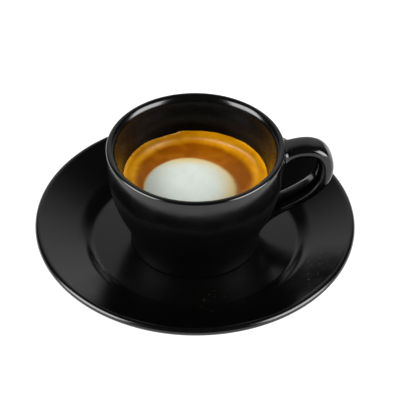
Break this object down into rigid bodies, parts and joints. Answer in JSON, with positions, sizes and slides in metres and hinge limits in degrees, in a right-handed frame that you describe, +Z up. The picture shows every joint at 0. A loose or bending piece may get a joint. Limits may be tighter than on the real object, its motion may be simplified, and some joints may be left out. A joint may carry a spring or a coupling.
{
  "type": "espresso macchiato",
  "caption": "Espresso macchiato with amber crema and an off-white milk foam spot, in a thick black cup with a strap handle on its black saucer.",
  "frame": {"origin": "middle of the saucer's foot ring, at the height of the table", "axes": "+Z up; +X to the right as the drinker sees it, towards the cup's handle; +Y away from the drinker"},
  "size_m": [0.12, 0.12, 0.0493],
  "materials": {
    "black_glaze": "glossy black glaze with soft highlights",
    "crema": "glossy amber to brown coffee crema, a liquid with a fine foam",
    "milk_foam": "soft off-white milk foam with fine bubbles"
  },
  "bodies": {
    "root": {"saucer": "black_glaze", "cup": "black_glaze", "espresso": "crema", "milk_foam": "milk_foam"}
  },
  "joints": []
}
